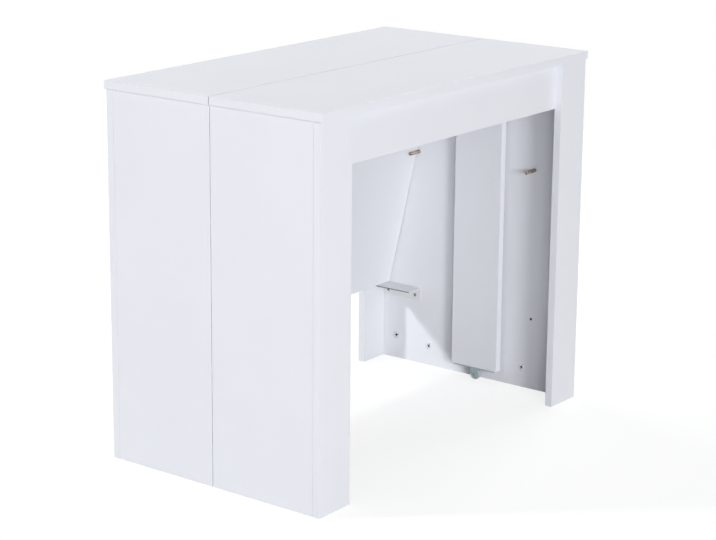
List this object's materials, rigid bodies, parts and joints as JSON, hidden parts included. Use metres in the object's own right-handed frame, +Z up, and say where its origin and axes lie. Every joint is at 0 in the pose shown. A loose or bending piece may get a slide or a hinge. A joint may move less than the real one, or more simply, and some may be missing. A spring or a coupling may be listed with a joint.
{
  "type": "extending console table",
  "caption": "White board console table in two halves that slide apart on telescopic runners, with wheeled centre legs and a rack inside for a loose leaf.",
  "frame": {"origin": "on the floor, under the middle of the closed table", "axes": "+Z up; +X along the table's width, to the right of someone standing at the near side; +Y from the near half to the far half, which is the way the table extends"},
  "size_m": [0.9, 0.526, 0.76],
  "materials": {
    "white_board": "chipboard faced with smooth satin white melamine, white edge strips",
    "white_metal": "white powder coat on folded sheet",
    "runner_aluminium": "extruded, satin",
    "steel": "bright zinc plate",
    "zinc_cam": "die-cast zinc, dull grey",
    "beech": "plain turned beech",
    "grey_plastic": "moulded grey-teal nylon, satin"
  },
  "bodies": {
    "far_half": {"far_top": "white_board", "far_apron": "white_board", "far_left_side": "white_board", "far_right_side": "white_board", "far_left_leg_strip": "white_board", "far_right_leg_strip": "white_board", "far_left_strip_cam": "zinc_cam", "far_left_foot_cam": "zinc_cam", "far_right_strip_cam": "zinc_cam", "far_right_foot_cam": "zinc_cam", "far_left_strip_stud": "steel", "far_right_strip_stud": "steel", "far_left_dowel": "beech", "far_right_dowel": "beech", "left_far_runner": "runner_aluminium", "right_far_runner": "runner_aluminium", "left_leaf_bracket": "white_metal", "right_leaf_bracket": "white_metal", "left_leaf_bracket_front_screw": "steel", "left_leaf_bracket_rear_screw": "steel", "right_leaf_bracket_front_screw": "steel", "right_leaf_bracket_rear_screw": "steel"},
    "near_half": {"near_top": "white_board", "near_apron": "white_board", "near_left_side": "white_board", "near_right_side": "white_board", "near_left_leg_strip": "white_board", "near_right_leg_strip": "white_board", "near_left_strip_cam": "zinc_cam", "near_left_foot_cam": "zinc_cam", "near_right_strip_cam": "zinc_cam", "near_right_foot_cam": "zinc_cam", "near_left_strip_stud": "steel", "near_right_strip_stud": "steel", "near_left_dowel": "beech", "near_right_dowel": "beech", "left_near_runner": "runner_aluminium", "right_near_runner": "runner_aluminium"},
    "near_outer_stages": {"left_near_outer_stage": "runner_aluminium", "right_near_outer_stage": "runner_aluminium"},
    "near_inner_stages": {"left_near_inner_stage": "runner_aluminium", "right_near_inner_stage": "runner_aluminium"},
    "centre_legs": {"left_centre_runner": "runner_aluminium", "right_centre_runner": "runner_aluminium", "left_leg_hanger": "steel", "right_leg_hanger": "steel", "left_centre_leg": "white_board", "right_centre_leg": "white_board", "left_castor_fork": "grey_plastic", "right_castor_fork": "grey_plastic", "left_castor_axle": "steel", "right_castor_axle": "steel"},
    "far_inner_stages": {"left_far_inner_stage": "runner_aluminium", "right_far_inner_stage": "runner_aluminium"},
    "far_outer_stages": {"left_far_outer_stage": "runner_aluminium", "right_far_outer_stage": "runner_aluminium"},
    "left_wheel": {"left_castor_wheel": "grey_plastic"},
    "right_wheel": {"right_castor_wheel": "grey_plastic"},
    "leaf": {"stored_leaf": "white_board"}
  },
  "joints": [
    {"name": "extension", "type": "slide", "parent": "far_half", "child": "near_half", "axis": [0, -1, 0], "range_m": [0, 1.86]},
    {"name": "near_outer_stage_slide", "type": "slide", "parent": "far_half", "child": "near_outer_stages", "axis": [0, -1, 0], "range_m": [0, 1.551]},
    {"name": "near_inner_stage_slide", "type": "slide", "parent": "far_half", "child": "near_inner_stages", "axis": [0, -1, 0], "range_m": [0, 1.241]},
    {"name": "centre_slide", "type": "slide", "parent": "far_half", "child": "centre_legs", "axis": [0, -1, 0], "range_m": [0, 0.931]},
    {"name": "far_inner_stage_slide", "type": "slide", "parent": "far_half", "child": "far_inner_stages", "axis": [0, -1, 0], "range_m": [0, 0.621]},
    {"name": "far_outer_stage_slide", "type": "slide", "parent": "far_half", "child": "far_outer_stages", "axis": [0, -1, 0], "range_m": [0, 0.311]},
    {"name": "left_wheel_spin", "type": "hinge", "parent": "centre_legs", "child": "left_wheel", "pos_m": [-0.413, -0.024, 0.013], "axis": [1, 0, 0], "continuous": true},
    {"name": "right_wheel_spin", "type": "hinge", "parent": "centre_legs", "child": "right_wheel", "pos_m": [0.413, -0.024, 0.013], "axis": [1, 0, 0], "continuous": true},
    {"name": "leaf_lift", "type": "slide", "parent": "far_half", "child": "leaf", "axis": [0, -0.2216, 0.9751], "range_m": [0, 0.05]}
  ],
  "couplings": [
    {"joint": "near_outer_stage_slide", "follows": "extension", "ratio": 0.83333},
    {"joint": "near_inner_stage_slide", "follows": "extension", "ratio": 0.66667},
    {"joint": "centre_slide", "follows": "extension", "ratio": 0.5},
    {"joint": "far_inner_stage_slide", "follows": "extension", "ratio": 0.33333},
    {"joint": "far_outer_stage_slide", "follows": "extension", "ratio": 0.16667}
  ]
}
